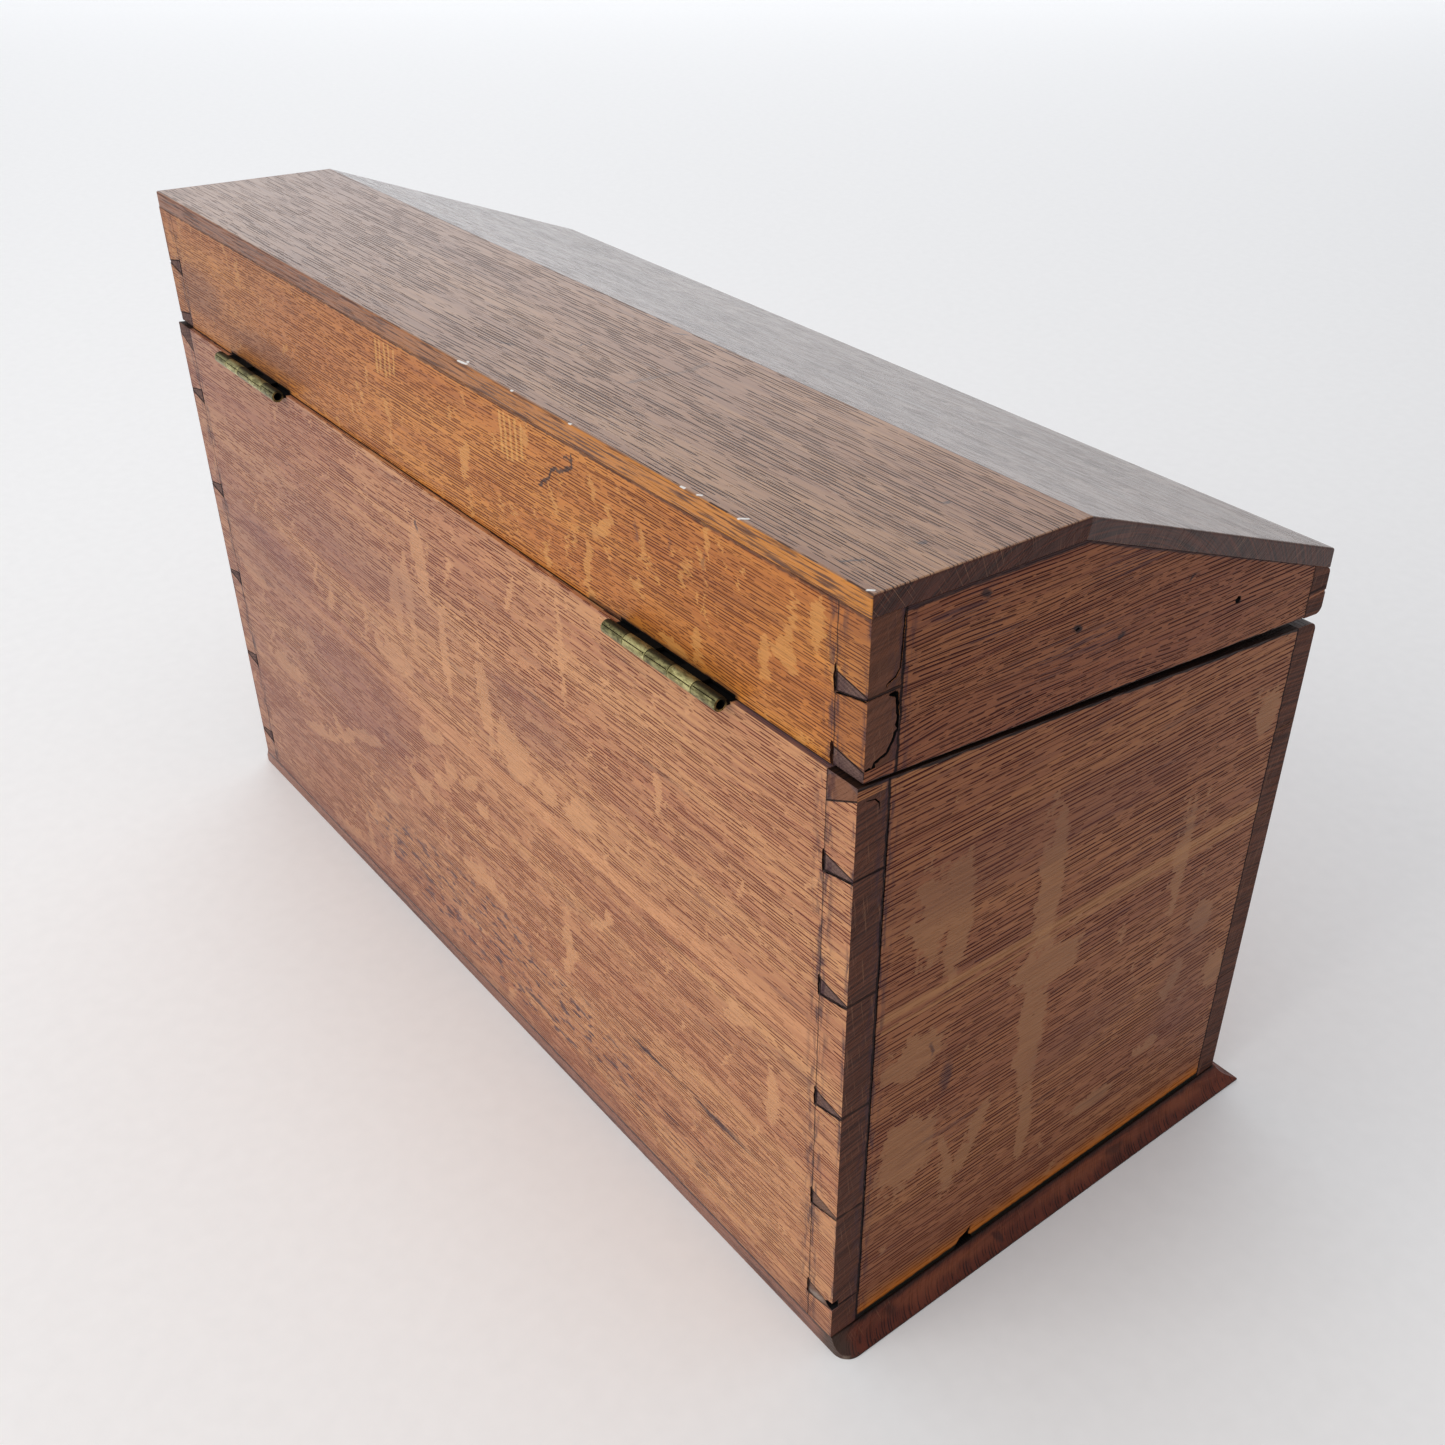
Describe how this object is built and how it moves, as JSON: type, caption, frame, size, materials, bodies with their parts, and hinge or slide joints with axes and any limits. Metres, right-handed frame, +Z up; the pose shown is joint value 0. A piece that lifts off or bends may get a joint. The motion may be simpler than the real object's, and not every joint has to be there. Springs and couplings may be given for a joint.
{
  "type": "stationery box",
  "caption": "Dovetailed oak box with a hinged lid that slopes to the front, a stepped letter rack, butt hinges and a small box lock.",
  "frame": {"origin": "centre of the box footprint, on the surface that the base board stands on", "axes": "+X along the length, towards the right end as seen from the front; +Y towards the hinges at the back; +Z up"},
  "size_m": [0.357, 0.1674, 0.2231],
  "materials": {
    "oak_body": "old waxed finish on quarter-sawn oak",
    "oak_lid": "old waxed finish on quarter-sawn oak",
    "oak_top": "faded waxed oak, open pored",
    "oak_base": "dark red-brown stained oak",
    "oak_rack": "bare oak",
    "hinge_brass": "dull olive-brown patina",
    "lock_brass": "aged",
    "screw_brass": "aged",
    "screw_steel": "darkened"
  },
  "bodies": {
    "body": {"back_board": "oak_body", "base_board": "oak_base", "base_screws": "screw_steel", "centre_partition": "oak_rack", "escutcheon": "lock_brass", "front_board": "oak_body", "front_divider": "oak_rack", "hinge_left_body_leaf": "hinge_brass", "hinge_left_body_screws": "screw_brass", "hinge_left_pin": "hinge_brass", "hinge_right_body_leaf": "hinge_brass", "hinge_right_body_screws": "screw_brass", "hinge_right_pin": "hinge_brass", "left_end": "oak_body", "lock_cap": "lock_brass", "lock_case": "lock_brass", "lock_screws": "screw_brass", "middle_divider": "oak_rack", "rear_divider": "oak_rack", "right_end": "oak_body"},
    "lid": {"hinge_left_lid_leaf": "hinge_brass", "hinge_left_lid_screws": "screw_brass", "hinge_right_lid_leaf": "hinge_brass", "hinge_right_lid_screws": "screw_brass", "lid_back": "oak_lid", "lid_front_rail": "oak_lid", "lid_left_end": "oak_lid", "lid_right_end": "oak_lid", "lid_top_front": "oak_top", "lid_top_rear": "oak_top", "lock_link_plate": "lock_brass", "lock_link_screws": "screw_brass"},
    "lock_bolt": {"lock_bolt": "lock_brass"}
  },
  "joints": [
    {"name": "lid_hinge", "type": "hinge", "parent": "body", "child": "lid", "pos_m": [0, 0.0819, 0.1807], "axis": [-1, 0, 0], "range_deg": [0, 180]},
    {"name": "lock_bolt_slide", "type": "slide", "parent": "body", "child": "lock_bolt", "axis": [-1, 0, 0], "range_m": [0, 0.0045]}
  ]
}
